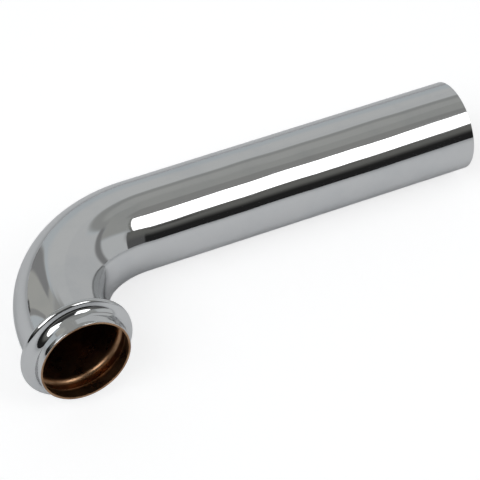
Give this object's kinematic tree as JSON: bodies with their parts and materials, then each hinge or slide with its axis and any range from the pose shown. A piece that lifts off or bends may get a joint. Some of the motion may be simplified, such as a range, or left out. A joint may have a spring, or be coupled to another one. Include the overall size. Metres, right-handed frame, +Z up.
{
  "type": "trap wall tube",
  "caption": "Chrome-plated tubular wall bend for a basin trap: a long plain leg, a right-angle bend and a short leg with a rolled bead behind its mouth.",
  "frame": {"origin": "middle of the outline seen from above, on the table that the tube lies on", "axes": "+X along the long leg towards its plain end, +Z up, the mouth looks along -Y and about 5 degrees upwards"},
  "size_m": [0.1862, 0.0696, 0.0394],
  "materials": {
    "chrome": "bright chrome plate on brass outside, bare brown brass inside"
  },
  "bodies": {
    "root": {"wall_tube": "chrome"}
  },
  "joints": []
}
